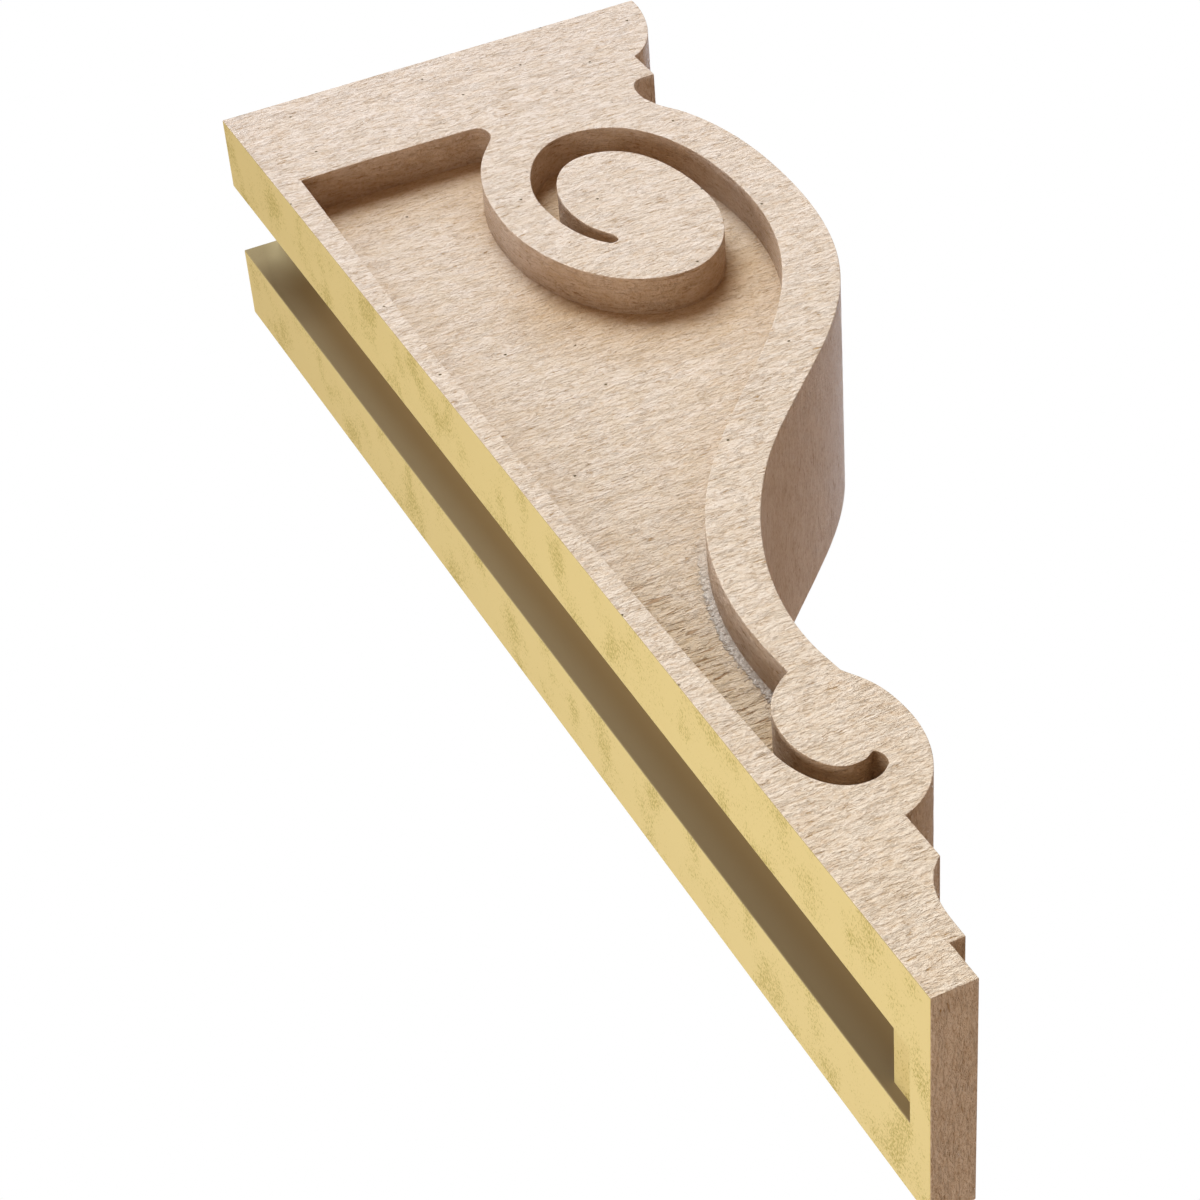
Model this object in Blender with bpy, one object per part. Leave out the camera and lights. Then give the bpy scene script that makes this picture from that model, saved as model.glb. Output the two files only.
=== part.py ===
"""A moulded foam corbel with the look of rough-sawn timber: 6 inches wide, 12 deep and 36 high.

It runs with blender --background --python part.py, or from the text editor. X points out of the wall,
Y runs along it and Z is up. The origin is on the flat back, in the middle of the solid foot below the slot,
which is where the corbel meets its wall. All of it is one moulding, so it is one object: a plate of the
side outline's shape, with a pocket sunk into each side round a large and a small volute, and a slot
up the back for the block that holds it.
"""

import math

import bmesh
import bpy
from mathutils import Vector, geometry

INCH = 0.0254

# Overall size, in metres.
WIDTH = 6 * INCH
DEPTH = 12 * INCH
HEIGHT = 36 * INCH

# The pockets in the two sides, and the slot in the back, which ends in a shallow step.
POCKET_DEPTH = 1 * INCH
SLOT_WIDTH = 2 * INCH
SLOT_DEPTH = 1 * INCH
SLOT_FOOT = 1.75 * INCH
STEP_DEPTH = 0.25 * INCH
STEP_FOOT = 0.75 * INCH

# Heights and reaches of the outline's corners. The two fascias are the flat fronts above and below the scrolls.
BACK_RAIL = 2 / 3 * INCH
TOP_RAIL = 4 * INCH
TONGUE_REACH = 1 * INCH
TONGUE_HEIGHT = 1 * INCH
COVE_REACH = 4 / 3 * INCH
LOW_FASCIA_REACH = 2 * INCH
LOW_FASCIA_FOOT = 3 * INCH
LOW_FASCIA_HEAD = 4.25 * INCH
NECK = Vector((3.02, 8.52)) * INCH
BROW = Vector((9.98, 30.66)) * INCH
TOP_FASCIA_REACH = 32 / 3 * INCH
TOP_FASCIA_HEAD = 33.15 * INCH

# The origin's height above the underside, half-way up the solid foot of the back.
ORIGIN_HEIGHT = STEP_FOOT / 2

# How far a cutter stands past the face that it cuts, and the turn between two points of a curve.
CLEARANCE = 0.5 * INCH
TURN_PER_POINT = math.radians(7)

# The coat's colour and roughness.
COAT_COLOUR = (0.80, 0.66, 0.53, 1)
COAT_ROUGHNESS = 0.75


class Outline:
    """A closed line in the side view, in metres out from the wall and up from the underside."""

    def __init__(self, x, z):
        self.points = [Vector((x, z))]

    def line(self, x, z):
        """A straight stretch to (x, z)."""
        self.points.append(Vector((x, z)))

    def curve(self, leave, x, z, arrive, reach):
        """A smooth stretch to (x, z).

        It leaves and arrives along headings in degrees, where 0 points away from the wall and 90 up.
        reach is how far, in inches, each of its two handles pulls it along those headings.
        """
        start, end = self.points[-1], Vector((x, z))
        handles = []
        for heading, length in ((leave, reach[0]), (arrive, reach[1])):
            turned = math.radians(heading)
            handles.append(Vector((math.cos(turned), math.sin(turned))) * length * INCH)
        first, second = start + handles[0], end - handles[1]
        middle = second - first
        turn = abs(handles[0].angle(middle)) + abs(middle.angle(handles[1]))
        count = max(3, math.ceil(turn / TURN_PER_POINT))
        self.points += geometry.interpolate_bezier(start, first, second, end, count + 1)[1:]


def side_outline():
    """The corbel seen from its side: back, foot, S-shaped front, and crown under a flat top."""
    outline = Outline(0, 0)
    outline.line(TONGUE_REACH, 0)
    outline.line(TONGUE_REACH, TONGUE_HEIGHT)
    outline.line(COVE_REACH, TONGUE_HEIGHT)
    outline.curve(90, LOW_FASCIA_REACH, LOW_FASCIA_FOOT, 37, (0.77, 0.86))
    outline.line(LOW_FASCIA_REACH, LOW_FASCIA_HEAD)
    # The small scroll bulges forward and turns back to the neck.
    outline.curve(15, 3.56 * INCH, 6.65 * INCH, 90, (1.15, 0.85))
    outline.curve(90, *NECK, 117, (1.2, 0.45))
    # One long S up the front, and the large scroll's brow.
    outline.curve(96, 2.915 * INCH, 9.7 * INCH, 90, (0.48, 0.5))
    outline.curve(90, 6 * INCH, 16.43 * INCH, 45, (2.42, 2.44))
    outline.curve(45, 11.14 * INCH, 26.1 * INCH, 90, (4.0, 5.45))
    outline.curve(90, *BROW, 124, (1.63, 1.6))
    # A hollow under the top fascia, then the crown's quarter round.
    outline.curve(106, 9.86 * INCH, 31.22 * INCH, 90, (0.3, 0.27))
    outline.curve(90, 10.35 * INCH, HEIGHT - TOP_RAIL, 0, (0.3, 0.44))
    outline.line(TOP_FASCIA_REACH, HEIGHT - TOP_RAIL)
    outline.line(TOP_FASCIA_REACH, TOP_FASCIA_HEAD)
    outline.curve(24, DEPTH, HEIGHT, 90, (0.85, 1.1))
    outline.line(0, HEIGHT)
    return outline


def pocket_outline():
    """The sunk ground of a side: it runs down from the top rail and winds into both volutes."""
    outline = Outline(BACK_RAIL, HEIGHT - TOP_RAIL)
    outline.line(5.26 * INCH, HEIGHT - TOP_RAIL)
    outline.curve(0, 5.7 * INCH, 31.54 * INCH, -90, (0.36, 0.3))
    outline.curve(-90, 5.48 * INCH, 31.12 * INCH, -130, (0.1, 0.2))
    # Round the outside of the large volute, under it, over its eye and down to the groove's rounded end.
    outline.curve(-131, 4.21 * INCH, 27.12 * INCH, -90, (1.55, 1.4))
    outline.curve(-90, 7 * INCH, 23.07 * INCH, 0, (1.8, 1.82))
    outline.curve(0, 9.1 * INCH, 25.95 * INCH, 90, (1.33, 1.28))
    outline.curve(90, 7.27 * INCH, 29.24 * INCH, 180, (1.35, 1.47))
    outline.curve(180, 5.82 * INCH, 27.14 * INCH, -90, (1.0, 0.8))
    outline.curve(-90, 6.2 * INCH, 25.6 * INCH, -57, (0.53, 0.57))
    outline.curve(-57, 6.15 * INCH, 25.15 * INCH, 180, (0.25, 0.2))
    outline.curve(180, 6.04 * INCH, 25.19 * INCH, 131, (0.05, 0.05))
    # Back along the groove's outer wall, over the volute and down the inside of the front band.
    outline.curve(131, 5.36 * INCH, 27.65 * INCH, 90, (0.85, 0.9))
    outline.curve(90, 7.4 * INCH, 30.41 * INCH, 0, (1.13, 1.2))
    outline.curve(0, 9.94 * INCH, 25.9 * INCH, -90, (2.05, 1.9))
    outline.curve(-90, 2.03 * INCH, 10.15 * INCH, -90, (7.42, 7.75))
    outline.curve(-90, 2.075 * INCH, 9 * INCH, -89, (0.4, 0.4))
    # Round the small volute, its groove's blunt end, and back up to the rail.
    outline.curve(-149, 1.076 * INCH, 7.23 * INCH, -90, (0.7, 1.0))
    outline.curve(-90, 1.9 * INCH, 5.96 * INCH, 0, (0.52, 0.54))
    outline.curve(0, 2.37 * INCH, 6.11 * INCH, 28, (0.3, 0.2))
    outline.curve(-28, 2.5 * INCH, 5.86 * INCH, -88, (0.08, 0.1))
    outline.curve(-88, 2.42 * INCH, 5.63 * INCH, -141, (0.1, 0.06))
    outline.curve(-141, 1.9 * INCH, 5.41 * INCH, 180, (0.2, 0.27))
    outline.curve(180, BACK_RAIL, 7.3 * INCH, 90, (0.82, 0.85))
    return outline


def slot_outline():
    """The slot in the back, open behind and above, with its shallow step at the foot."""
    outline = Outline(-CLEARANCE, STEP_FOOT)
    outline.line(STEP_DEPTH, STEP_FOOT)
    outline.line(STEP_DEPTH, SLOT_FOOT)
    outline.line(SLOT_DEPTH, SLOT_FOOT)
    outline.line(SLOT_DEPTH, HEIGHT + CLEARANCE)
    outline.line(-CLEARANCE, HEIGHT + CLEARANCE)
    return outline


def plate(name, outline, low_y, high_y):
    """An object of the outline's shape that reaches from low_y to high_y along the wall."""
    bm = bmesh.new()
    corners = [bm.verts.new((point.x, low_y, point.y - ORIGIN_HEIGHT)) for point in outline.points]
    face = bm.faces.new(corners)
    grown = bmesh.ops.extrude_face_region(bm, geom=[face])["geom"]
    far = [item for item in grown if isinstance(item, bmesh.types.BMVert)]
    bmesh.ops.translate(bm, verts=far, vec=(0, high_y - low_y, 0))
    bmesh.ops.recalc_face_normals(bm, faces=bm.faces)
    mesh = bpy.data.meshes.new(name)
    bm.to_mesh(mesh)
    bm.free()
    mesh.shade_smooth()
    mesh.set_sharp_from_angle(angle=math.radians(20))
    made = bpy.data.objects.new(name, mesh)
    bpy.context.scene.collection.objects.link(made)
    return made


def coat():
    """The tan priming coat over the foam."""
    material = bpy.data.materials.new("tan_coat")
    material.use_nodes = True
    shader = material.node_tree.nodes["Principled BSDF"]
    shader.inputs["Base Color"].default_value = COAT_COLOUR
    shader.inputs["Roughness"].default_value = COAT_ROUGHNESS
    shader.inputs["Metallic"].default_value = 0
    return material


def cut(body, cutter):
    """Takes the cutter's shape out of the body, and leaves the cutter as a wire guide."""
    cutter.parent = body
    cutter.hide_render = True
    cutter.display_type = "WIRE"
    modifier = body.modifiers.new(cutter.name, "BOOLEAN")
    modifier.operation = "DIFFERENCE"
    modifier.object = cutter


def clear_scene():
    for old in list(bpy.data.objects):
        bpy.data.objects.remove(old, do_unlink=True)


def main():
    clear_scene()
    side = WIDTH / 2
    corbel = plate("corbel", side_outline(), -side, side)
    corbel.data.materials.append(coat())
    ground = side - POCKET_DEPTH
    cut(corbel, plate("pocket_near", pocket_outline(), -side - CLEARANCE, -ground))
    cut(corbel, plate("pocket_far", pocket_outline(), ground, side + CLEARANCE))
    cut(corbel, plate("slot", slot_outline(), -SLOT_WIDTH / 2, SLOT_WIDTH / 2))


main()
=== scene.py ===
"""The looks of a moulded foam corbel with the face of rough-sawn timber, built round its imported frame.

Blender runs this file as a script. It is laid out as an add-on: the sizes and colours that a user would
change are properties, the corbel and the stage have an operator each, and a panel in the 3D view's
sidebar lists them. All sizes are in metres in the frame's own axes: X points out of the wall, Y runs
along it and Z is up.
"""

import math

import bmesh
import bpy
from mathutils import Euler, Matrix, Vector, geometry, kdtree, noise


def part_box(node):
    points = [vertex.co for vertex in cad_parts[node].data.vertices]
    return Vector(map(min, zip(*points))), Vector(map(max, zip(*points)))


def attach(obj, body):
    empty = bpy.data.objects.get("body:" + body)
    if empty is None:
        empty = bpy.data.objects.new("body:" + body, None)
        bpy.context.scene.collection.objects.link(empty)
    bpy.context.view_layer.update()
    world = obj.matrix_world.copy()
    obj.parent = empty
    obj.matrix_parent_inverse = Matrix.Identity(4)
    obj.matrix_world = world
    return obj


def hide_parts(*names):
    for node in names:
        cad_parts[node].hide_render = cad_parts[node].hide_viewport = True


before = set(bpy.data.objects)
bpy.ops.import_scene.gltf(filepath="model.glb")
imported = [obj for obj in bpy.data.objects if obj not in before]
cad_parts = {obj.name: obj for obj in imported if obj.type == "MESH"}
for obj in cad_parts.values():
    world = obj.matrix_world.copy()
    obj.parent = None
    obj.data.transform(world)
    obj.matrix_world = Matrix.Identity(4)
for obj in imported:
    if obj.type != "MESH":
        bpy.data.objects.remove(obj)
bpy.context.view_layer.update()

bl_info = {
    "name": "Rough-sawn corbel",
    "version": (1, 0, 0),
    "blender": (4, 5, 0),
    "location": "View3D > Sidebar > Corbel",
    "description": "A moulded foam corbel with the face of rough-sawn timber",
    "category": "Add Mesh",
}

INCH = 0.0254
MM = 0.001

# The corbel's box, from the frame.
LOW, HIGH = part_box("corbel")
WIDTH = HIGH.y - LOW.y

# The sunk sides, and the slot in the back with its shallow step, as the solid has them.
POCKET_DEPTH = 1 * INCH
SLOT_WIDTH = 2 * INCH
SLOT_DEPTH = 1 * INCH
SLOT_FOOT = 1.75 * INCH
STEP_DEPTH = 0.25 * INCH
STEP_FOOT = 0.75 * INCH

# How far a cutter stands past the face that it cuts.
CLEARANCE = 0.5 * INCH

# An outline turns more than this at a corner. Its curves are redrawn with this turn between two points, and
# with no step shorter than this.
CORNER_TURN = math.radians(20)
TURN_PER_POINT = math.radians(2)
SHORTEST_STEP = 0.9 * MM

# Edges of the finished mesh that turn more than this are shown sharp.
SHARP_TURN = math.radians(12)

# Points nearer than this are one point, in the solid's mesh and in the one that is cut into cells.
SAME_POINT = 0.01 * MM
SAME_CUT = 0.02 * MM

# How far a normal has to lie along an axis for its face to be square to it, level, a side, or facing down.
SQUARE = 0.9
LEVEL = 0.8
SIDEWAYS = 0.5
FACING_DOWN = -0.5

# The cells of the front are this much longer than those of the sides.
FRONT_STRETCH = 1.4

# The modelled saw grain: its fine and broad waves in millimetres along the grain, into the face and across
# the grain, how much each of them adds, and how far the broad ones are moved off the fine ones. The grain
# fades out this near to a sharp edge.
FINE_WAVE = (10, 10, 5.5)
BROAD_WAVE = (40, 40, 14)
FINE_SHARE = 0.7
BROAD_SHARE = 0.5
BROAD_SHIFT = 50
QUIET_EDGE = 3 * MM

# The painted shadow below a wall that faces down reaches this many times as far as the painted shade at
# the foot of any wall.
UNDER_SHADOW_REACH = 4

# The finish of each part of the surface: the outer faces, the sunk sides, and bare foam.
FACE = 0
SUNK = 1
BARE = 2
ZONES = (FACE, SUNK, BARE)


def linear(code):
    """An sRGB hex colour as linear red, green, blue and alpha."""
    shares = [int(code[i : i + 2], 16) / 255 for i in (1, 3, 5)]
    return [s / 12.92 if s <= 0.04045 else ((s + 0.055) / 1.055) ** 2.4 for s in shares] + [1.0]


class CorbelShape(bpy.types.PropertyGroup):
    """Sizes of the corbel's finish."""

    edge_round: bpy.props.FloatProperty(
        name="Edge rounding",
        description="How far the mould's release softens each outer edge",
        default=0.6 * MM,
        min=0,
        unit="LENGTH",
    )
    grain_depth: bpy.props.FloatProperty(
        name="Grain depth",
        description="How far the coarse saw grain rises and falls",
        default=0.2 * MM,
        min=0,
        unit="LENGTH",
    )
    # How far the painted shade at the foot of a sunk wall reaches.
    foot_shade_reach: bpy.props.FloatProperty(
        name="Recess reach",
        description="How far from the foot of a sunk wall its deeper tone still shows",
        default=16 * MM,
        min=1 * MM,
        unit="LENGTH",
    )
    cell_across: bpy.props.FloatProperty(
        name="Cell across the grain",
        description="Spacing of the mesh across the grain",
        default=2.0 * MM,
        min=0.5 * MM,
        unit="LENGTH",
    )
    cell_along: bpy.props.FloatProperty(
        name="Cell along the grain",
        description="Spacing of the mesh along the grain",
        default=4.8 * MM,
        min=1 * MM,
        unit="LENGTH",
    )


class CorbelFinish(bpy.types.PropertyGroup):
    """Colours of the corbel."""

    coat_head: bpy.props.FloatVectorProperty(
        name="Coat at the head",
        description="The primer coat near the top",
        subtype="COLOR",
        size=4,
        default=linear("#F3E1D1"),
    )
    coat_foot: bpy.props.FloatVectorProperty(
        name="Coat at the foot",
        description="The primer coat near the foot, a little warmer",
        subtype="COLOR",
        size=4,
        default=linear("#F0DBC2"),
    )
    hollow: bpy.props.FloatVectorProperty(
        name="Coat in hollows",
        description="The coat where it lies thin in the hollows of the grain",
        subtype="COLOR",
        size=4,
        default=linear("#CFAE80"),
    )
    # Partly the coat's colour in the grain's splits, partly a painted shade in them.
    split: bpy.props.FloatVectorProperty(
        name="Coat in splits",
        description="The coat at the bottom of the grain's splits",
        subtype="COLOR",
        size=4,
        default=linear("#B88A52"),
    )
    # A painted shade on the sunk walls, darkest towards their feet.
    foot_shade: bpy.props.FloatVectorProperty(
        name="Recess tone",
        description="How the coat deepens on sunk walls towards their feet",
        subtype="COLOR",
        size=4,
        default=linear("#AEA6A8"),
    )
    # A painted shade on the sunk floor beside its walls.
    floor_foot_shade: bpy.props.FloatVectorProperty(
        name="Recess tone of the floor",
        description="How the coat deepens on the sunk floor beside its walls",
        subtype="COLOR",
        size=4,
        default=linear("#D3C0A6"),
    )
    # The pits' dark bottom: partly their own colour, partly a painted shade in them.
    pit_and_shade: bpy.props.FloatVectorProperty(
        name="Coat in pits",
        description="The dark bottom of the few round pits",
        subtype="COLOR",
        size=4,
        default=linear("#6E5C38"),
    )
    # A painted shade over all the sunk walls.
    wall: bpy.props.FloatVectorProperty(
        name="Wall tone",
        description="How the coat darkens on all sunk walls",
        subtype="COLOR",
        size=4,
        default=linear("#F6F3F2"),
    )
    # A painted shadow, yellow, on the sunk floor under a wall that faces down.
    below: bpy.props.FloatVectorProperty(
        name="Tone below a wall",
        description="How the coat yellows on the sunk floor under a wall that faces down",
        subtype="COLOR",
        size=4,
        default=linear("#E4D2B6"),
    )
    crack: bpy.props.FloatVectorProperty(
        name="Coat in floor cracks",
        description="The coat in the coarse cracks low on the sunk floor",
        subtype="COLOR",
        size=4,
        default=linear("#A87C50"),
    )
    bead: bpy.props.FloatVectorProperty(
        name="Bead",
        description="The rough bead at the foot of the front wall, low in the sunk side",
        subtype="COLOR",
        size=4,
        default=linear("#F0E9E4"),
    )
    foam: bpy.props.FloatVectorProperty(
        name="Bare foam",
        description="The foam that shows on the back and in the slot",
        subtype="COLOR",
        size=4,
        default=linear("#DAC686"),
    )
    foam_speck: bpy.props.FloatVectorProperty(
        name="Foam specks",
        description="Open cells and scorched specks in the cut foam",
        subtype="COLOR",
        size=4,
        default=linear("#B29F55"),
    )
    # A painted shade over the foam inside the slot.
    slot: bpy.props.FloatVectorProperty(
        name="Slot tone",
        description="The foam's skin inside the slot",
        subtype="COLOR",
        size=4,
        default=linear("#C4B28C"),
    )
    # A darker painted shade on the slot's walls beside the back.
    slot_edge_shade: bpy.props.FloatVectorProperty(
        name="Slot tone at its edge",
        description="The foam's skin on the slot's walls beside the back",
        subtype="COLOR",
        size=4,
        default=linear("#6E5A3C"),
    )


class StageSettings(bpy.types.PropertyGroup):
    """The floor and the lights."""

    floor_drop: bpy.props.FloatProperty(
        name="Floor drop",
        description="How far the floor lies under the corbel, which hangs on a wall",
        default=1.5,
        unit="LENGTH",
    )


def rims(solid, y):
    """The closed lines of the solid's flat face at this y, as lists of points (x, z), tallest first."""
    bm = bmesh.new()
    bm.from_mesh(solid)
    bmesh.ops.remove_doubles(bm, verts=bm.verts, dist=SAME_POINT)
    edges = []
    for edge in bm.edges:
        ends_on = all(abs(vert.co.y - y) < SAME_POINT for vert in edge.verts)
        if ends_on and len({abs(face.normal.y) > SQUARE for face in edge.link_faces}) == 2:
            edges.append(edge)
    loops = []
    while edges:
        edge = edges.pop()
        walk = [edge.verts[0], edge.verts[1]]
        while walk[-1] is not walk[0]:
            edge = next(other for other in walk[-1].link_edges if other in edges)
            edges.remove(edge)
            walk.append(edge.other_vert(walk[-1]))
        loops.append([Vector((vert.co.x, vert.co.z)) for vert in walk[:-1]])
    bm.free()
    loops.sort(key=lambda loop: -max(point.y for point in loop) + min(point.y for point in loop))
    return loops


def redrawn(points):
    """The same closed outline with its corners kept and its faceted curves drawn smooth."""
    count = len(points)
    sides = [points[(i + 1) % count] - points[i] for i in range(count)]
    turns = [abs(sides[i - 1].angle(sides[i])) for i in range(count)]

    def heading(i):
        """The curve's direction at point number i, or None at a corner."""
        if turns[i] >= CORNER_TURN:
            return None
        before, after = sides[i - 1].normalized(), sides[i].normalized()
        weight = sides[i - 1].length / (sides[i - 1].length + sides[i].length)
        return (before * (1 - weight) + after * weight).normalized()

    drawn = []
    for i in range(count):
        start, end, side = points[i], points[(i + 1) % count], sides[i]
        along = side.normalized()
        leave, arrive = heading(i), heading((i + 1) % count)
        if leave is None and arrive is None:
            leave = arrive = along
        elif leave is None:
            leave = (along * 2 * along.dot(arrive) - arrive).normalized()
        elif arrive is None:
            arrive = (along * 2 * along.dot(leave) - leave).normalized()
        turn = abs(leave.angle(arrive))
        steps = max(1, min(math.ceil(turn / TURN_PER_POINT), int(side.length / SHORTEST_STEP)))
        reach = side.length / 3
        drawn += geometry.interpolate_bezier(
            start, start + leave * reach, end - arrive * reach, end, steps + 1
        )[:-1]
    return drawn


def plate(name, points, low_y, high_y, zone):
    """An object of this outline, reaching from low_y to high_y along the wall, all in one zone's finish."""
    bm = bmesh.new()
    corners = [bm.verts.new((point.x, low_y, point.y)) for point in points]
    face = bm.faces.new(corners)
    grown = bmesh.ops.extrude_face_region(bm, geom=[face])["geom"]
    far = [item for item in grown if isinstance(item, bmesh.types.BMVert)]
    bmesh.ops.translate(bm, verts=far, vec=(0, high_y - low_y, 0))
    bmesh.ops.recalc_face_normals(bm, faces=bm.faces)
    mesh = bpy.data.meshes.new(name)
    for face in bm.faces:
        face.material_index = zone
    bm.to_mesh(mesh)
    bm.free()
    for _ in ZONES:
        mesh.materials.append(None)
    made = bpy.data.objects.new(name, mesh)
    bpy.context.scene.collection.objects.link(made)
    return made


def slot_outline():
    """The slot's side view: open behind and above, with a shallow step at its foot."""
    top = HIGH.z + CLEARANCE
    step, foot = LOW.z + STEP_FOOT, LOW.z + SLOT_FOOT
    places = [(-CLEARANCE, step), (STEP_DEPTH, step), (STEP_DEPTH, foot), (SLOT_DEPTH, foot)]
    places += [(SLOT_DEPTH, top), (-CLEARANCE, top)]
    return [Vector(place) for place in places]


def moulding():
    """The corbel as one closed mesh with smooth curves: the side plate less its pockets and its slot."""
    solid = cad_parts["corbel"].data
    side = WIDTH / 2
    ground = side - POCKET_DEPTH
    outer, pocket = [redrawn(points) for points in rims(solid, -side)[:2]]
    body = plate("body", outer, -side, side, FACE)
    cutters = [
        plate("pocket_near", pocket, -side - CLEARANCE, -ground, SUNK),
        plate("pocket_far", pocket, ground, side + CLEARANCE, SUNK),
        plate("slot", slot_outline(), -SLOT_WIDTH / 2, SLOT_WIDTH / 2, BARE),
    ]
    for cutter in cutters:
        modifier = body.modifiers.new(cutter.name, "BOOLEAN")
        modifier.operation = "DIFFERENCE"
        modifier.object = cutter
    bpy.context.view_layer.update()
    graph = bpy.context.evaluated_depsgraph_get()
    bm = bmesh.new()
    bm.from_mesh(body.evaluated_get(graph).to_mesh())
    for helper in [body, *cutters]:
        bpy.data.objects.remove(helper, do_unlink=True)
    bmesh.ops.remove_doubles(bm, verts=bm.verts, dist=SAME_POINT)
    # The plate's own back is bare foam too.
    for face in bm.faces:
        if face.normal.x < -SQUARE and face.calc_center_median().x < MM:
            face.material_index = BARE
    return bm


def soften(bm, width):
    """Rounds the outer edges, as release from a mould leaves them."""
    edges = [edge for edge in bm.edges if edge.is_manifold and edge.calc_face_angle_signed() > CORNER_TURN]
    bmesh.ops.bevel(
        bm,
        geom=edges,
        offset=width,
        offset_type="OFFSET",
        affect="EDGES",
        segments=2,
        profile=0.5,
        material=-1,
        clamp_overlap=False,
    )
    bmesh.ops.remove_doubles(bm, verts=bm.verts, dist=SAME_CUT)
    bmesh.ops.dissolve_degenerate(bm, edges=bm.edges, dist=SAME_POINT)


def slice_faces(bm, faces, axis, places):
    """Cuts the faces by planes square to an axis at these places, halving the range each time."""
    if not places or not faces:
        return
    middle = len(places) // 2
    normal = Vector([float(i == axis) for i in range(3)])
    # Dictionaries keep their order, so that each run cuts in the same one.
    edges = dict.fromkeys(edge for face in faces for edge in face.edges)
    verts = dict.fromkeys(vert for face in faces for vert in face.verts)
    cut = bmesh.ops.bisect_plane(
        bm,
        geom=[*verts, *edges, *faces],
        dist=SAME_CUT,
        plane_co=normal * places[middle],
        plane_no=normal,
    )["geom"]
    low, high = [], []
    for item in cut:
        if isinstance(item, bmesh.types.BMFace):
            below = item.calc_center_median()[axis] < places[middle]
            (low if below else high).append(item)
    slice_faces(bm, low, axis, places[:middle])
    slice_faces(bm, high, axis, places[middle + 1 :])


def spaced(low, high, step):
    """Places between low and high, a step apart."""
    count = max(1, round((high - low) / step))
    return [low + (high - low) * (i + 0.5) / count for i in range(count)]


def divide(bm, across, along):
    """Cuts the coated faces into small cells, finer across the grain than along it."""
    coated = [face for face in bm.faces if face.material_index != BARE]
    slice_faces(bm, coated, 2, spaced(LOW.z, HIGH.z, across))
    coated = [face for face in bm.faces if face.material_index != BARE]
    level = [face for face in coated if abs(face.normal.z) > LEVEL]
    slice_faces(bm, level, 0, spaced(LOW.x, HIGH.x, across))
    coated = [face for face in bm.faces if face.material_index != BARE]
    sides = [face for face in coated if abs(face.normal.y) > SIDEWAYS]
    slice_faces(bm, sides, 0, spaced(LOW.x, HIGH.x, along))
    coated = [face for face in bm.faces if face.material_index != BARE]
    others = [face for face in coated if abs(face.normal.y) <= SIDEWAYS]
    slice_faces(bm, others, 1, spaced(LOW.y, HIGH.y, along * FRONT_STRETCH))


def smooth_step(value):
    """0 up to 0, 1 from 1 on, and a smooth rise between."""
    share = min(1, max(0, value))
    return share * share * (3 - 2 * share)


def wave(spot, size, shift):
    """The height of a noise at a spot, from -1 to 1, with lumps of this size in millimetres each way."""
    x, y, z = [spot[i] / (size[i] * MM) for i in range(3)]
    return noise.noise(Vector((x, y, z + shift)))


def grain_height(place, level):
    """How far the sawn face stands up at a place, from about -1 to 1.

    The grain lies flat, and across X on a level face.
    """
    spot = Vector((place.z, place.y, place.x)) if level else place
    return FINE_SHARE * wave(spot, FINE_WAVE, 0) + BROAD_SHARE * wave(spot, BROAD_WAVE, BROAD_SHIFT)


def roughen(bm, depth):
    """Raises the saw grain on the coated faces, and leaves every edge and inner corner where it is."""
    corners = kdtree.KDTree(len(bm.verts))
    for vert in bm.verts:
        if any(not edge.smooth for edge in vert.link_edges):
            corners.insert(vert.co, vert.index)
    corners.balance()
    moves = {}
    for vert in bm.verts:
        if all(face.material_index == BARE for face in vert.link_faces):
            continue
        distance = corners.find(vert.co)[2]
        fade = smooth_step(distance / QUIET_EDGE)
        if fade:
            height = grain_height(vert.co, abs(vert.normal.z) > LEVEL)
            moves[vert] = vert.normal * height * fade * depth
    for vert, move in moves.items():
        vert.co += move


def shade_recesses(bm, reach):
    """Notes on each point, from 0 to 1, how near it is to the foot of a sunk wall.

    One layer counts all sunk walls, for the painted shade at their feet, and the other only those that face
    down, for the painted shadow under them.
    """
    near, below = [bm.verts.layers.float.new(name) for name in ("foot_shade", "below")]
    feet, shaded = set(), set()
    for edge in bm.edges:
        if edge.is_manifold and edge.calc_face_angle_signed() < -CORNER_TURN:
            if any(face.material_index == SUNK for face in edge.link_faces):
                feet.update(edge.verts)
                if min(face.normal.z for face in edge.link_faces) < FACING_DOWN:
                    shaded.update(edge.verts)
    trees = []
    for verts in (feet, shaded):
        tree = kdtree.KDTree(len(verts))
        for vert in verts:
            tree.insert(vert.co, vert.index)
        tree.balance()
        trees.append(tree)
    for vert in bm.verts:
        if any(face.material_index == SUNK for face in vert.link_faces):
            vert[near] = math.exp(-trees[0].find(vert.co)[2] / reach)
            vert[below] = max(0, 1 - trees[1].find(vert.co)[2] / (UNDER_SHADOW_REACH * reach))


class CORBEL_OT_moulding(bpy.types.Operator):
    """Builds the corbel's finished surface"""

    bl_idname = "corbel.moulding"
    bl_label = "Corbel"

    def execute(self, context):
        shape, finish = context.scene.corbel_shape, context.scene.corbel_finish
        bm = moulding()
        soften(bm, shape.edge_round)
        divide(bm, shape.cell_across, shape.cell_along)
        for edge in bm.edges:
            edge.smooth = not (edge.is_manifold and edge.calc_face_angle() > SHARP_TURN)
        for face in bm.faces:
            face.smooth = True
        bm.normal_update()
        bm.verts.index_update()
        shade_recesses(bm, shape.foot_shade_reach)
        roughen(bm, shape.grain_depth)
        mesh = bpy.data.meshes.new("corbel_moulding")
        bm.to_mesh(mesh)
        bm.free()
        dress(mesh, finish)
        piece = bpy.data.objects.new("corbel_moulding", mesh)
        context.scene.collection.objects.link(piece)
        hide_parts("corbel")
        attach(piece, "root")
        return {"FINISHED"}


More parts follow.
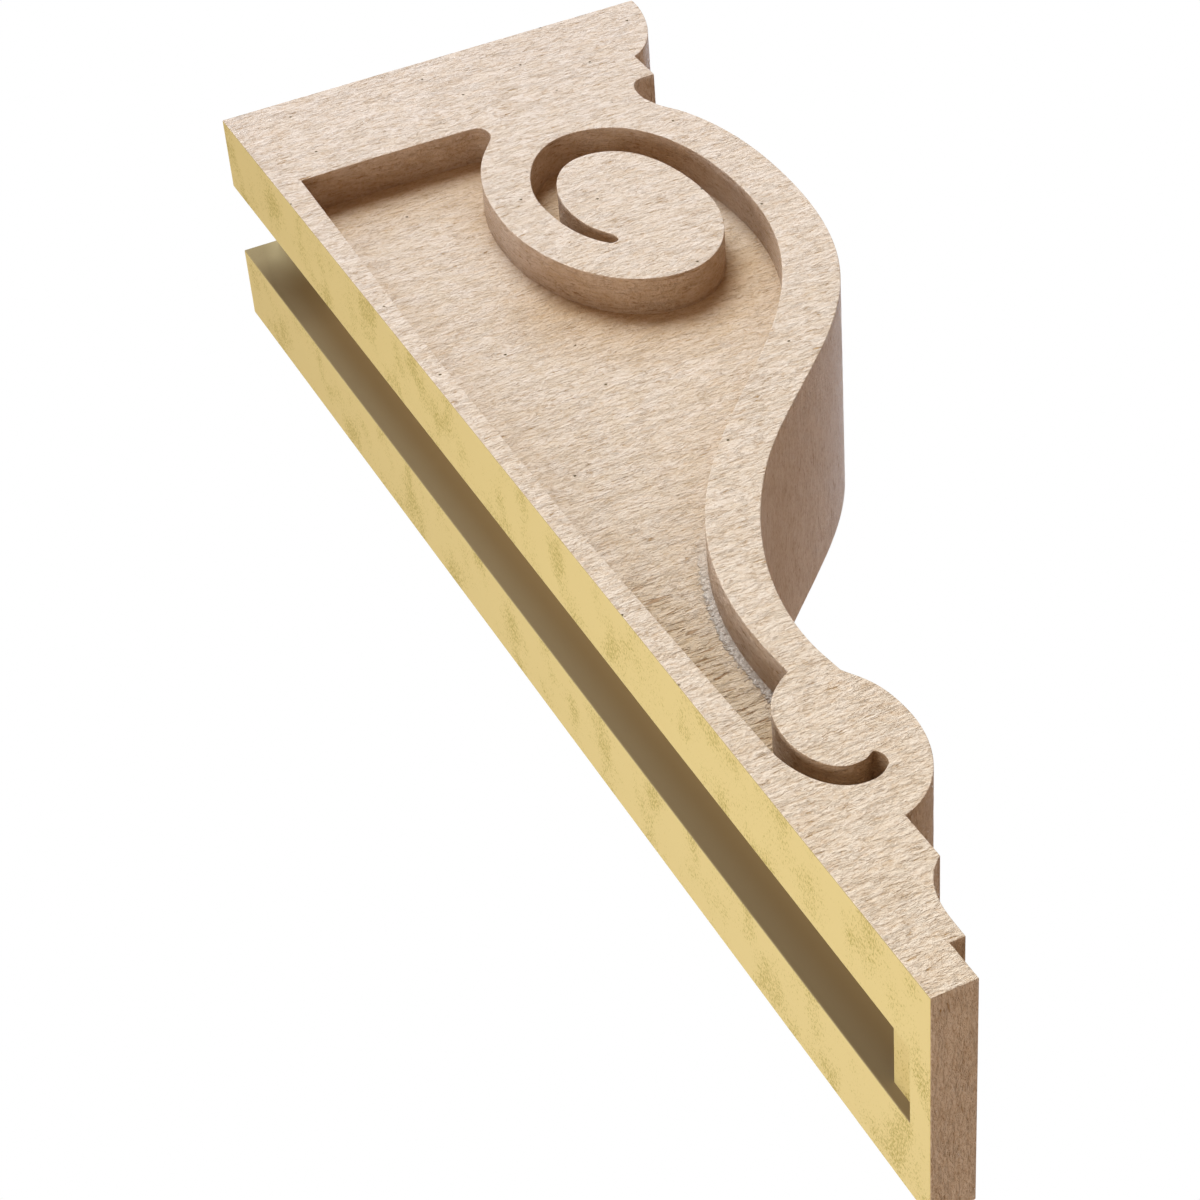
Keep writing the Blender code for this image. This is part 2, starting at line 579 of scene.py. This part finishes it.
def add(tree, kind, inputs, **settings):
    """Adds a shader node with its settings and inputs.

    An input is a value, one output of a node, or a node, whose first output it takes. Sockets are named or
    counted. A Map Range turns the range from 1 to 2 into the one from 3 to 4. A Mix blends by 0: numbers
    are 2 and 3, places 4 and 5, and colours 6 and 7.
    """
    made = tree.nodes.new("ShaderNode" + kind)
    for name, value in settings.items():
        setattr(made, name, value)
    for socket, value in inputs.items():
        if isinstance(value, bpy.types.Node):
            value = next(output for output in value.outputs if output.enabled)
        if isinstance(value, bpy.types.NodeSocket):
            tree.links.new(value, made.inputs[socket])
        else:
            made.inputs[socket].default_value = value
    return made


def new_material(name):
    """An empty material and its node tree."""
    material = bpy.data.materials.new(name)
    material.use_nodes = True
    material.node_tree.nodes.clear()
    return material, material.node_tree


def per_metre(x, y, z):
    """A Mapping scale that makes one unit of a pattern this many millimetres long each way."""
    return (1 / (x * MM), 1 / (y * MM), 1 / (z * MM))


# The coat's noises. Each has its lumps' size in millimetres along the grain, into the face and across the
# grain, and its detail, roughness and distortion. Real torn fibres are too fine to show, so these are drawn
# as coarse as they need to be.
COAT_NOISES = {
    "lumps": ((2.5, 2.5, 1.6), 5.0, 0.65, 0.0),
    "streaks": ((9, 9, 1.7), 3.0, 0.6, 0.4),
    "creases": ((20, 20, 4.5), 4.0, 0.6, 0.5),
    "broad": ((12, 12, 7), 2.0, 0.5, 0.0),
    "patches": ((16, 16, 10), 2.0, 0.5, 0.0),
    "coarse": ((6.5, 6.5, 3.2), 2.0, 0.5, 0.4),
    "cracks": ((10, 10, 1.5), 3.0, 0.6, 0.4),
}
SUNK_NOISES = {
    "tears": ((14, 14, 2.2), 3.0, 0.6, 0.5),
    "crumbs": ((3.2, 3.2, 3.6), 3.0, 0.6, 0.0),
}

# The depth that the coat's relief stands for, and how much of it each pattern adds, or cuts in.
RELIEF_DEPTH = 2.4 * MM
COAT_RELIEF = {
    "lumps": 1.3,
    "creases": -0.25,
    "streaks": 0.35,
    "broad": 0.3,
    "coarse": 1.0,
    "cracks": -0.4,
    "pits": -0.6,
}
SUNK_RELIEF = {"tears": -0.9, "crumbs": 3.6}

# How strongly the relief shows low and high on the outer faces and in the sunk sides.
FACE_STRENGTH = {3: 0.85, 4: 0.8}
SUNK_STRENGTH = {3: 0.9, 4: 0.75}

# Half the width of a crease, in steps of its noise.
CREASE_WIDTH = 0.03

# The pits lie about this far apart. A pit's floor and rim have these shares of it as radius, so they are
# about 1 and 2 mm across.
PIT_SPACING = 45 * MM
PIT_FLOOR = 0.012
PIT_RIM = 0.024

# Heights in metres between which the coarse tearing fades, the relief eases, the rough low end of the sunk
# floor ends, and the front's sheen begins.
TEARING_FADES = {1: 0.2, 2: 0.6}
RELIEF_EASES = {1: 0.2, 2: 0.65}
ROUGH_FLOOR_ENDS = {1: 0.32, 2: 0.38}
SHEEN_BEGINS = {1: 0.4, 2: 0.52}

# Reaches from the wall between which the sunk floor's tears end and its bead begins.
TEARS_END = {1: 34 * MM, 2: 52 * MM}
BEAD_BEGINS = {1: 40 * MM, 2: 45 * MM}

# Ends of a Map Range that falls from all to nothing, for a pattern that fades out.
FADING = {3: 1.0, 4: 0.0}


def coat_material(finish, name, sunk):
    """Tan primer on moulded polyurethane, whose mould was cast from rough-sawn timber.

    The paint is matt and even, so the eye reads a sawn face: torn fibres along the grain, thin creases that
    wander between them, short cracks, a few round pits, and golden brown where the paint lies thin, which in
    the splits and pits is partly painted shade. The sunk sides are darker with painted shade, at the feet of
    their walls, on the walls and under those that face down, with tears and a rough bead of paint low on
    their floor.
    """
    material, tree = new_material(name)
    place = add(tree, "TexCoord", {})
    normal = add(tree, "SeparateXYZ", {0: place.outputs["Normal"]}).outputs
    x, y, z = add(tree, "SeparateXYZ", {0: place.outputs["Object"]}).outputs
    sideways = add(tree, "Math", {0: normal[1]}, operation="ABSOLUTE")
    # The grain lies flat on the sides. It is turned on a sunk side's walls, and on the level outer faces.
    if sunk:
        level = add(tree, "Math", {0: sideways, 1: SIDEWAYS}, operation="LESS_THAN")
        turned = add(tree, "CombineXYZ", {0: x, 1: z, 2: y})
    else:
        upness = add(tree, "Math", {0: normal[2]}, operation="ABSOLUTE")
        level = add(tree, "Math", {0: upness, 1: LEVEL}, operation="GREATER_THAN")
        turned = add(tree, "CombineXYZ", {0: z, 1: y, 2: x})
    spot = add(tree, "Mix", {0: level, 4: place.outputs["Object"], 5: turned}, data_type="VECTOR")

    noises = {**COAT_NOISES, **SUNK_NOISES} if sunk else COAT_NOISES
    marks = {}
    for kind, (size, detail, roughness, distortion) in noises.items():
        scaled = add(tree, "Mapping", {0: spot, "Scale": per_metre(*size)})
        settings = {"Scale": 1.0, "Detail": detail, "Roughness": roughness, "Distortion": distortion}
        marks[kind] = add(tree, "TexNoise", {"Vector": scaled, **settings})

    # Creases run where their noise crosses its middle.
    apart = add(tree, "Math", {0: marks["creases"], 1: 0.5}, operation="SUBTRACT")
    apart = add(tree, "Math", {0: apart}, operation="ABSOLUTE")
    marks["creases"] = add(tree, "MapRange", {0: apart, 1: 0.0, 2: CREASE_WIDTH, **FADING})

    # Towards the foot the tearing is coarser.
    tearing = add(tree, "MapRange", {0: z, **TEARING_FADES, 3: 0.9, 4: 0.1})
    marks["coarse"] = add(tree, "Math", {0: marks["coarse"], 1: tearing}, operation="MULTIPLY")

    # Short cracks along the grain, few and far between.
    cracks = {0: marks["patches"], 1: 0.4, 2: marks["cracks"]}
    cracks = add(tree, "Math", cracks, operation="MULTIPLY_ADD")
    cracks = {0: cracks, 1: 0.84, 2: 0.92}
    marks["cracks"] = add(tree, "MapRange", cracks, interpolation_type="SMOOTHSTEP")

    # Now and then a small round pit, on the sides and the floors alone.
    sheet = add(tree, "CombineXYZ", {0: x, 1: z})
    pits = add(tree, "TexVoronoi", {"Vector": sheet, "Scale": 1 / PIT_SPACING}, voronoi_dimensions="2D")
    pits = add(tree, "MapRange", {0: pits, 1: PIT_FLOOR, 2: PIT_RIM, **FADING})
    rare = add(tree, "MapRange", {0: marks["patches"], 1: 0.5, 2: 0.54})
    pits = add(tree, "Math", {0: pits, 1: rare}, operation="MULTIPLY")
    flat = add(tree, "MapRange", {0: sideways, 1: 0.8, 2: 0.9})
    marks["pits"] = add(tree, "Math", {0: pits, 1: flat}, operation="MULTIPLY")

    if sunk:
        # Low on the floor lie coarse dark tears near the back, and a rough bead at the front wall's foot.
        # How near a wall's foot each point lies, noted for the painted shade there; it also places the bead.
        foot_shade = add(tree, "Attribute", {}, attribute_name="foot_shade").outputs["Fac"]
        wall = add(tree, "MapRange", {0: sideways, 1: 0.3, 2: 0.6, **FADING})
        ground = add(tree, "Math", {0: 1.0, 1: wall}, operation="SUBTRACT")
        low = add(tree, "MapRange", {0: z, **ROUGH_FLOOR_ENDS, **FADING})
        low = add(tree, "Math", {0: low, 1: ground}, operation="MULTIPLY")
        near = add(tree, "MapRange", {0: x, **TEARS_END, **FADING})
        near = add(tree, "Math", {0: low, 1: near}, operation="MULTIPLY")
        tears = {0: marks["tears"], 1: 0.56, 2: 0.62}
        tears = add(tree, "MapRange", tears, interpolation_type="SMOOTHSTEP")
        marks["tears"] = add(tree, "Math", {0: tears, 1: near}, operation="MULTIPLY")
        bead = add(tree, "Math", {0: marks["crumbs"], 1: 0.5, 2: foot_shade}, operation="MULTIPLY_ADD")
        bead = add(tree, "MapRange", {0: bead, 1: 0.95, 2: 1.03})
        front = add(tree, "MapRange", {0: x, **BEAD_BEGINS})
        bead = add(tree, "Math", {0: bead, 1: front}, operation="MULTIPLY")
        bead = add(tree, "Math", {0: bead, 1: low}, operation="MULTIPLY")
        marks["crumbs"] = add(tree, "Math", {0: marks["crumbs"], 1: bead}, operation="MULTIPLY")

    height = 0.0
    relief = {**COAT_RELIEF, **SUNK_RELIEF} if sunk else COAT_RELIEF
    for kind, share in relief.items():
        height = add(tree, "Math", {0: marks[kind], 1: share, 2: height}, operation="MULTIPLY_ADD")
    strengths = SUNK_STRENGTH if sunk else FACE_STRENGTH
    strength = add(tree, "MapRange", {0: z, **RELIEF_EASES, **strengths})
    bump = add(tree, "Bump", {"Height": height, "Strength": strength, "Distance": RELIEF_DEPTH})

    # The coat is pinker and paler at the head, and warmer at the foot and where it lies thin. Its golden
    # brown in the grain's splits, creases and low lumps is partly painted shade in those hollows.
    rise = add(tree, "MapRange", {0: z, 1: LOW.z, 2: HIGH.z})
    colour = add(tree, "Mix", {0: rise, 6: finish.coat_foot, 7: finish.coat_head}, data_type="RGBA")
    hollow = add(tree, "MapRange", {0: marks["broad"], 1: 0.35, 2: 0.65, 3: 0.18, 4: 0.0})
    colour = add(tree, "Mix", {0: hollow, 6: colour, 7: finish.hollow}, data_type="RGBA")
    thin_coat_and_shade = add(tree, "MapRange", {0: marks["lumps"], 1: 0.35, 2: 0.52, 3: 0.3, 4: 0.0})
    thin_coat_and_shade = add(tree, "Math", {0: marks["creases"], 1: 0.15, 2: thin_coat_and_shade}, operation="MULTIPLY_ADD")
    lines = add(tree, "MapRange", {0: marks["streaks"], 1: 0.36, 2: 0.5, 3: 0.22, 4: 0.0})
    thin_coat_and_shade = add(tree, "Math", {0: lines, 1: thin_coat_and_shade}, operation="ADD")
    thin_coat_and_shade = {0: marks["cracks"], 1: 0.5, 2: thin_coat_and_shade}
    thin_coat_and_shade = add(tree, "Math", thin_coat_and_shade, operation="MULTIPLY_ADD", use_clamp=True)
    colour = add(tree, "Mix", {0: thin_coat_and_shade, 6: colour, 7: finish.split}, data_type="RGBA")
    # The pits are darkened, partly by their own colour and partly by painted shade.
    colour = add(tree, "Mix", {0: marks["pits"], 6: colour, 7: finish.pit_and_shade}, data_type="RGBA")
    if sunk:
        stain = add(tree, "MapRange", {0: marks["patches"], 1: 0.4, 2: 0.62, 3: 0.16, 4: 0.0})
        stain = add(tree, "Math", {0: near, 1: 0.3, 2: stain}, operation="MULTIPLY_ADD")
        colour = add(tree, "Mix", {0: stain, 6: colour, 7: finish.hollow}, data_type="RGBA")
        open_tears = add(tree, "Math", {0: marks["tears"], 1: 0.85}, operation="MULTIPLY")
        colour = add(tree, "Mix", {0: open_tears, 6: colour, 7: finish.crack}, data_type="RGBA")
        pale = add(tree, "Math", {0: bead, 1: 0.6}, operation="MULTIPLY")
        colour = add(tree, "Mix", {0: pale, 6: colour, 7: finish.bead}, data_type="RGBA")

        # Three painted shades darken the coat: at the foot of the walls, on all the walls, and a painted
        # shadow under the upper ones.
        deep = add(tree, "Mix", {0: wall, 6: finish.floor_foot_shade, 7: finish.foot_shade}, data_type="RGBA")
        foot_shade_share = add(tree, "Mix", {0: wall, 2: 0.45, 3: 0.3})
        foot_shade_share = add(tree, "Math", {0: foot_shade, 1: foot_shade_share}, operation="MULTIPLY")
        # How near a wall that faces down each point lies, for the painted shadow under it.
        below = add(tree, "Attribute", {}, attribute_name="below").outputs["Fac"]
        under_shadow_share = add(tree, "MapRange", {0: wall, 3: 0.9, 4: 0.8})
        under_shadow_share = add(tree, "Math", {0: below, 1: under_shadow_share}, operation="MULTIPLY")
        for share, tone in ((foot_shade_share, deep), (wall, finish.wall), (under_shadow_share, finish.below)):
            tones = {0: share, 6: colour, 7: tone}
            colour = add(tree, "Mix", tones, data_type="RGBA", blend_type="MULTIPLY")

    # At a glancing angle the upper half, where the face is smoother, shines along its rim.
    skin = add(tree, "Bump", {"Height": height, "Strength": 0.3, "Distance": RELIEF_DEPTH})
    glance = add(tree, "LayerWeight", {"Blend": 0.5, "Normal": skin}).outputs["Facing"]
    sheen = add(tree, "MapRange", {0: glance, 1: 0.9, 2: 0.98})
    smooth = add(tree, "MapRange", {0: z, **SHEEN_BEGINS})
    sheen = add(tree, "Math", {0: sheen, 1: smooth}, operation="MULTIPLY")
    gloss = {"Roughness": 0.65, "Specular IOR Level": 0.05, "Coat Weight": sheen, "Coat Roughness": 0.2}
    surface = {"Base Color": colour, "Normal": bump, "Coat Normal": skin, **gloss}
    shader = add(tree, "BsdfPrincipled", surface)
    add(tree, "OutputMaterial", {"Surface": shader})
    return material


# The foam's specks and clouds in millimetres each way. Real foam cells are too fine to show,
# so the specks are drawn as coarse as they need to be.
SPECK_SIZE = (1.3, 2.2, 1.2)
CLOUD_SIZE = (30, 40, 30)

# How far below its open top the slot gets paler with painted light, and how far the painted shade of
# its mouth reaches down from there.
LIT_OPEN_END = 0.1
MOUTH_SHADE = 0.12

# The height at which the painted shade of the slot's foot no longer darkens it.
FOOT_SHADE_TOP = 0.5


def foam_material(finish):
    """Bare rigid polyurethane foam, cut flat on the back.

    The cut gives a dull butter yellow with open cells, which the eye reads as darker specks in cloudy
    patches. The slot is painted browner with painted shade, darkest at its edge, its foot and its open end,
    where painted light also pales it a little.
    """
    material, tree = new_material("cut_polyurethane_foam")
    place = add(tree, "TexCoord", {})
    normal = add(tree, "SeparateXYZ", {0: place.outputs["Normal"]}).outputs
    x, y, z = add(tree, "SeparateXYZ", {0: place.outputs["Object"]}).outputs
    specks = add(tree, "Mapping", {0: place.outputs["Object"], "Scale": per_metre(*SPECK_SIZE)})
    specks = add(tree, "TexNoise", {"Vector": specks, "Scale": 1.0, "Detail": 4.0, "Roughness": 0.7})
    clouds = add(tree, "Mapping", {0: place.outputs["Object"], "Scale": per_metre(*CLOUD_SIZE)})
    clouds = add(tree, "TexNoise", {"Vector": clouds, "Scale": 1.0, "Detail": 3.0})
    least = add(tree, "MapRange", {0: clouds, 1: 0.4, 2: 0.65, 3: 0.64, 4: 0.44})
    specks = add(tree, "Math", {0: specks, 1: least}, operation="SUBTRACT")
    specks = add(tree, "MapRange", {0: specks, 1: 0.0, 2: 0.12})
    colour = add(tree, "Mix", {0: specks, 6: finish.foam, 7: finish.foam_speck}, data_type="RGBA")

    # The slot's walls and floor get a browner painted shade.
    skin = add(tree, "Math", {0: normal[1]}, operation="ABSOLUTE")
    deep = add(tree, "Math", {0: x, 1: STEP_DEPTH + MM}, operation="GREATER_THAN")
    skin = add(tree, "Math", {0: skin, 1: deep}, operation="MAXIMUM")
    # Near its open top the slot's painted shade is thinned, as painted light falling in from above.
    lit_open_end = add(tree, "MapRange", {0: z, 1: HIGH.z - LIT_OPEN_END, 2: HIGH.z, 3: 1.0, 4: 0.7})
    skin = add(tree, "Math", {0: skin, 1: lit_open_end}, operation="MULTIPLY")
    colour = add(tree, "Mix", {0: skin, 6: colour, 7: finish.slot}, data_type="RGBA")
    # A darker painted shade at the slot's edge beside the back, towards its foot and at its mouth.
    shade = add(tree, "MapRange", {0: x, 1: 2 * MM, 2: SLOT_DEPTH, 3: 0.6, 4: 0.0})
    foot = add(tree, "MapRange", {0: z, 1: LOW.z, 2: FOOT_SHADE_TOP, 3: 0.25, 4: 0.0})
    shade = add(tree, "Math", {0: shade, 1: foot}, operation="ADD")
    mouth_shade = add(tree, "MapRange", {0: z, 1: HIGH.z - MOUTH_SHADE, 2: HIGH.z, 3: 0.0, 4: 0.7})
    shade = add(tree, "Math", {0: shade, 1: mouth_shade}, operation="ADD", use_clamp=True)
    shade = add(tree, "Math", {0: shade, 1: skin}, operation="MULTIPLY")
    colour = add(tree, "Mix", {0: shade, 6: colour, 7: finish.slot_edge_shade}, data_type="RGBA")
    surface = {"Base Color": colour, "Roughness": 0.85, "Specular IOR Level": 0.1}
    shader = add(tree, "BsdfPrincipled", surface)
    add(tree, "OutputMaterial", {"Surface": shader})
    return material


def dress(mesh, finish):
    """Gives each zone of the corbel its material."""
    mesh.materials.append(coat_material(finish, "primed_moulded_polyurethane", False))
    mesh.materials.append(coat_material(finish, "primed_moulded_polyurethane_sunk", True))
    mesh.materials.append(foam_material(finish))


# The camera that fits the photo: its place in metres, its turns in degrees, and its lens and sensor in
# millimetres.
CAMERA_PLACE = (-0.47155, -1.05363, -0.79931)
CAMERA_TURN = (142.929, 25.8077, 4.3935)
LENS = 89.274
SENSOR = 36

# The floor is a disc of this radius in metres, with this many sides.
FLOOR_RADIUS = 12
FLOOR_SIDES = 64

# The colours of the lights: cool lamps, a warmer fill from below, and the surround as the camera, the
# corbel's coat and its gloss see it.
DAYLIGHT = (0.75, 0.88, 1.0)
PALE_DAYLIGHT = (0.90, 0.95, 1.0)
WARM_FILL = (1.0, 0.96, 0.94)
SURROUND_SEEN = (1, 1, 1, 1)
SURROUND_LIGHT = (0.37, 0.265, 0.19, 1)
SURROUND_IN_GLOSS = (0.80, 0.87, 1.0, 1)


def sun(name, come_from, colour, strength, angle):
    """A far light from a direction, soft by its angle in degrees."""
    light = bpy.data.lights.new(name, "SUN")
    light.color = colour
    light.energy = strength
    light.angle = math.radians(angle)
    made = bpy.data.objects.new(name, light)
    made.rotation_euler = Vector(come_from).to_track_quat("Z", "Y").to_euler()
    bpy.context.scene.collection.objects.link(made)


def panel(name, place, target, size, colour, power):
    """A square soft light at a place, turned to a target."""
    light = bpy.data.lights.new(name, "AREA")
    light.color = colour
    light.energy = power
    light.size = size
    made = bpy.data.objects.new(name, light)
    made.location = place
    towards = Vector(target) - Vector(place)
    made.rotation_euler = towards.to_track_quat("-Z", "Y").to_euler()
    bpy.context.scene.collection.objects.link(made)


def sky():
    """A white surround to the camera, a dim warm one as light, and a bright cool one in the gloss."""
    world = bpy.data.worlds.new("studio")
    world.use_nodes = True
    tree = world.node_tree
    tree.nodes.clear()
    seen = add(tree, "Background", {"Color": SURROUND_SEEN, "Strength": 1.0})
    dim = add(tree, "Background", {"Color": SURROUND_LIGHT, "Strength": 1.0})
    shine = add(tree, "Background", {"Color": SURROUND_IN_GLOSS, "Strength": 2.0})
    path = add(tree, "LightPath", {})
    both = add(tree, "MixShader", {0: path.outputs["Is Glossy Ray"], 1: dim, 2: shine})
    both = add(tree, "MixShader", {0: path.outputs["Is Camera Ray"], 1: both, 2: seen})
    add(tree, "OutputWorld", {"Surface": both})
    bpy.context.scene.world = world


class CORBEL_OT_stage(bpy.types.Operator):
    """Sets the floor, the lights and the camera"""

    bl_idname = "corbel.stage"
    bl_label = "Stage"

    def execute(self, context):
        settings = context.scene.corbel_stage
        scene = context.scene
        bm = bmesh.new()
        bmesh.ops.create_circle(bm, cap_ends=True, segments=FLOOR_SIDES, radius=FLOOR_RADIUS)
        bmesh.ops.translate(bm, verts=bm.verts, vec=(0, 0, LOW.z - settings.floor_drop))
        mesh = bpy.data.meshes.new("floor")
        bm.to_mesh(mesh)
        bm.free()
        material, tree = new_material("pale_floor")
        shader = add(tree, "BsdfPrincipled", {"Base Color": linear("#E8E6E2"), "Roughness": 0.8})
        add(tree, "OutputMaterial", {"Surface": shader})
        mesh.materials.append(material)
        floor = bpy.data.objects.new("floor", mesh)
        # The corbel is seen from below, so the floor neither tints it nor keeps the light off it.
        floor.visible_diffuse = False
        floor.visible_glossy = False
        floor.visible_shadow = False
        scene.collection.objects.link(floor)
        sky()
        sun("key", come_from=(0.05, -1, 0.72), colour=DAYLIGHT, strength=4.45, angle=35)
        sun("far_key", come_from=(-0.05, 1, 0.45), colour=DAYLIGHT, strength=3.7, angle=35)
        sun("fill", come_from=(-0.8, 0.6, -1), colour=WARM_FILL, strength=0.6, angle=20)
        back = {"place": (-1.25, -0.3, 0.0), "target": (0, 0, 0.25), "size": 0.5}
        panel("back_light", **back, colour=PALE_DAYLIGHT, power=9.2)
        camera = bpy.data.cameras.new("camera")
        camera.lens = LENS
        camera.sensor_width = SENSOR
        seat = bpy.data.objects.new("camera", camera)
        seat.location = CAMERA_PLACE
        seat.rotation_euler = Euler([math.radians(turn) for turn in CAMERA_TURN])
        scene.collection.objects.link(seat)
        scene.camera = seat
        scene.view_settings.view_transform = "Standard"
        return {"FINISHED"}


class CORBEL_PT_panel(bpy.types.Panel):
    """Lists the corbel's sizes, colours and operators"""

    bl_label = "Corbel"
    bl_idname = "CORBEL_PT_panel"
    bl_space_type = "VIEW_3D"
    bl_region_type = "UI"
    bl_category = "Corbel"

    def draw(self, context):
        for group in (context.scene.corbel_shape, context.scene.corbel_finish, context.scene.corbel_stage):
            for name in group.bl_rna.properties.keys():
                if name not in ("rna_type", "name"):
                    self.layout.prop(group, name)
        self.layout.operator("corbel.moulding")
        self.layout.operator("corbel.stage")


CLASSES = (
    CorbelShape,
    CorbelFinish,
    StageSettings,
    CORBEL_OT_moulding,
    CORBEL_OT_stage,
    CORBEL_PT_panel,
)


def register():
    for kind in CLASSES:
        bpy.utils.register_class(kind)
    bpy.types.Scene.corbel_shape = bpy.props.PointerProperty(type=CorbelShape)
    bpy.types.Scene.corbel_finish = bpy.props.PointerProperty(type=CorbelFinish)
    bpy.types.Scene.corbel_stage = bpy.props.PointerProperty(type=StageSettings)


def unregister():
    del bpy.types.Scene.corbel_stage
    del bpy.types.Scene.corbel_finish
    del bpy.types.Scene.corbel_shape
    for kind in reversed(CLASSES):
        bpy.utils.unregister_class(kind)


def main():
    register()
    bpy.ops.corbel.moulding()
    bpy.ops.corbel.stage()


if __name__ == "__main__":
    main()
